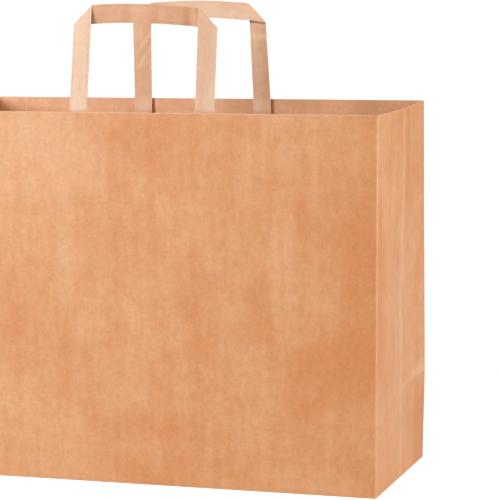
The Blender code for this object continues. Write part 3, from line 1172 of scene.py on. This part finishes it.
def buildPatch(name, side, finish):
    wall = bag["depth"] / 2 - bag["paper"]
    facing = side["facing"]
    low = strap["glueGap"] + patch["paper"] / 2
    high = 2 * strap["glueGap"] + strap["thick"] + patch["paper"] / 2
    wide = round(patch["width"] / patch["pitch"])
    deep = round(patch["height"] / patch["pitch"])
    points = []
    places = []
    for row in range(deep + 1):
        rise = -patch["below"] - patch["height"] * (1 - row / deep)
        line = []
        spots = []
        for place in range(wide + 1):
            x = patch["width"] * (place / wide - 0.5)
            lift = 0.0
            for hand in (-1, 1):
                left, right = sorted(end.x for end in legAt(hand, rise, side["tilt"], side["drop"]))
                away = max(left - patch["sideClearance"] - x, x - right - patch["sideClearance"], 0.0)
                lift = max(lift, 1 - smooth(away, 0.0, patch["slope"]))
            near = low + (high - low) * lift
            shift = side["shift"] + bag["mouthShift"]
            line.append(Vector((facing * x + shift, facing * (near - wall), bag["height"] + rise)))
            spots.append((x, rise))
        points.append(line)
        places.append(spots)
    return sheetAround(name, points, places, [patch["paper"] / 2] * (wide + 1), [finish])


def strapFinish(name, face, start, paintedShadowStrength):
    material, nodes = newFinish(name)
    place = sheetPlace(nodes)
    across, length = acrossAndUp(nodes, place)
    fields = paperFields(nodes, place, start)
    fromEdge = strap["width"] / 2 - abs(across)
    ply = nodes.line(abs(fromEdge - strap["plyLine"]), strap["plyWidth"])
    edge = nodes.line(fromEdge, strap["edgeWidth"])
    packed = nodes.line(abs(length - strap["packedFold"]), strap["packedWidth"])
    fromPaintedShadow = length - across * strap["paintedShadowSlant"] - strap["paintedShadowAt"]
    paintedShadow = nodes.line(abs(fromPaintedShadow), strap["paintedShadowWidth"])

    mottle = mottled(fields, strap["mottle"])
    body = nodes.blend(nodes.step(mottle, *strap["contrast"]), face["deep"], face["pale"])
    body = nodes.blend(ply * strap["plyTone"], body, face["deep"])
    # painted shade along the packed crease
    body = nodes.blend(packed * strap["packedCreaseShade"], body, face["deep"])
    body = nodes.blend(edge * strap["edgeTone"], body, face["edge"])
    # painted shadow of the folded band's edge on the leg
    body = nodes.blend(paintedShadow * paintedShadowStrength, body, strap["paintedShadowTone"])
    relief = added(dict(fields, ply=ply, packed=packed), strap["relief"])
    applyFinish(material, nodes, fields, body, relief, face["rough"], strap["speckle"])
    return material


def patchFinish():
    material, nodes = newFinish("patchKraft")
    fields = paperFields(nodes, sheetPlace(nodes), patch["start"])
    pale = nodes.step(mottled(fields, patch["mottle"]), *patch["contrast"])
    # the patch takes the inside's colours, painted light included
    body = nodes.blend(pale, kraft["innerDeepWithPaintedLight"], kraft["innerPaleWithPaintedLight"])
    relief = added(fields, patch["relief"])
    applyFinish(material, nodes, fields, body, relief, patch["rough"], kraft["speckle"])
    return material


patchKraft = patchFinish()
for end, side in handles.items():
    strapFaces = [
        strapFinish(end + "StrapPale", side["paleFace"], strap["paleStart"], 0.0),
        strapFinish(end + "StrapBrown", side["brownFace"], strap["brownStart"], strap["paintedShadowStrength"]),
    ]
    handle = buildHandle(end + "Handle", side, strapFaces)
    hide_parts("handle_" + end)
    cover = buildPatch(end + "Patch", side, patchKraft)
    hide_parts("patch_" + end)


print("lights and floor")

studio = dict(
    ambient=0.28,
    # white that the camera sees on top of the lit floor: about the bag, and far from it
    floorNear=0.62,
    floorFar=0.86,
    floorRun=(0.25, 1.6),
    floorTone=0.8,
    floorReach=14.0,
    aim=(0.0, 0.0, 0.14),           # where both lamps point
    key=dict(place=(-1.02, -1.35, 0.70), wide=0.6, tall=0.7, power=22.5),
    side=dict(place=(1.54, -0.13, 0.55), wide=0.8, tall=0.8, power=17.5),
)


def addLamp(name, lamp):
    data = bpy.data.lights.new(name, "AREA")
    data.shape = "RECTANGLE"
    data.size = lamp["wide"]
    data.size_y = lamp["tall"]
    data.energy = lamp["power"]
    item = bpy.data.objects.new(name, data)
    scene.collection.objects.link(item)
    aim = Vector(studio["aim"]) - Vector(lamp["place"])
    turn = aim.to_track_quat("-Z", "Y").to_matrix().to_4x4()
    item.matrix_world = Matrix.Translation(lamp["place"]) @ turn


def addStudio():
    addLamp("keyLamp", studio["key"])
    addLamp("sideLamp", studio["side"])
    world = bpy.data.worlds.new("studio")
    scene.world = world
    world.use_nodes = True
    nodes = Nodes(world.node_tree)
    world.node_tree.nodes.clear()
    seen = nodes.add("ShaderNodeLightPath", {}, {}, "Is Camera Ray")
    light = studio["ambient"]
    dim = nodes.add("ShaderNodeBackground", {}, {"Color": colour(1, 1, 1), "Strength": light})
    white = nodes.add("ShaderNodeBackground", {}, {"Color": colour(1, 1, 1), "Strength": 1.0})
    mixed = nodes.add("ShaderNodeMixShader", {}, {0: seen, 1: dim, 2: white})
    nodes.add("ShaderNodeOutputWorld", {}, {"Surface": mixed})


def addFloor():
    mesh = bpy.data.meshes.new("floor")
    reach = studio["floorReach"]
    corners = [(-reach, -reach, 0), (reach, -reach, 0), (reach, reach, 0), (-reach, reach, 0)]
    mesh.from_pydata(corners, [], [(0, 1, 2, 3)])
    item = bpy.data.objects.new("floor", mesh)
    scene.collection.objects.link(item)
    material = bpy.data.materials.new("paleFloor")
    material.use_nodes = True
    nodes = Nodes(material.node_tree)
    material.node_tree.nodes.clear()
    seen = nodes.add("ShaderNodeLightPath", {}, {}, "Is Camera Ray")
    tone = studio["floorTone"]
    plain = nodes.add("ShaderNodeBsdfDiffuse", {}, {"Color": colour(tone, tone, tone)})
    place = nodes.add("ShaderNodeNewGeometry", {}, {}, "Position")
    distance = nodes.add("ShaderNodeVectorMath", dict(operation="LENGTH"), {0: place}, "Value")
    far = nodes.step(distance, *studio["floorRun"])
    level = far * (studio["floorFar"] - studio["floorNear"]) + studio["floorNear"]
    white = nodes.add("ShaderNodeEmission", {}, {"Color": level, "Strength": 1.0})
    raised = nodes.add("ShaderNodeAddShader", {}, {0: plain, 1: white})
    mixed = nodes.add("ShaderNodeMixShader", {}, {0: seen, 1: plain, 2: raised})
    nodes.add("ShaderNodeOutputMaterial", {}, {"Surface": mixed})
    mesh.materials.append(material)


addStudio()
addFloor()
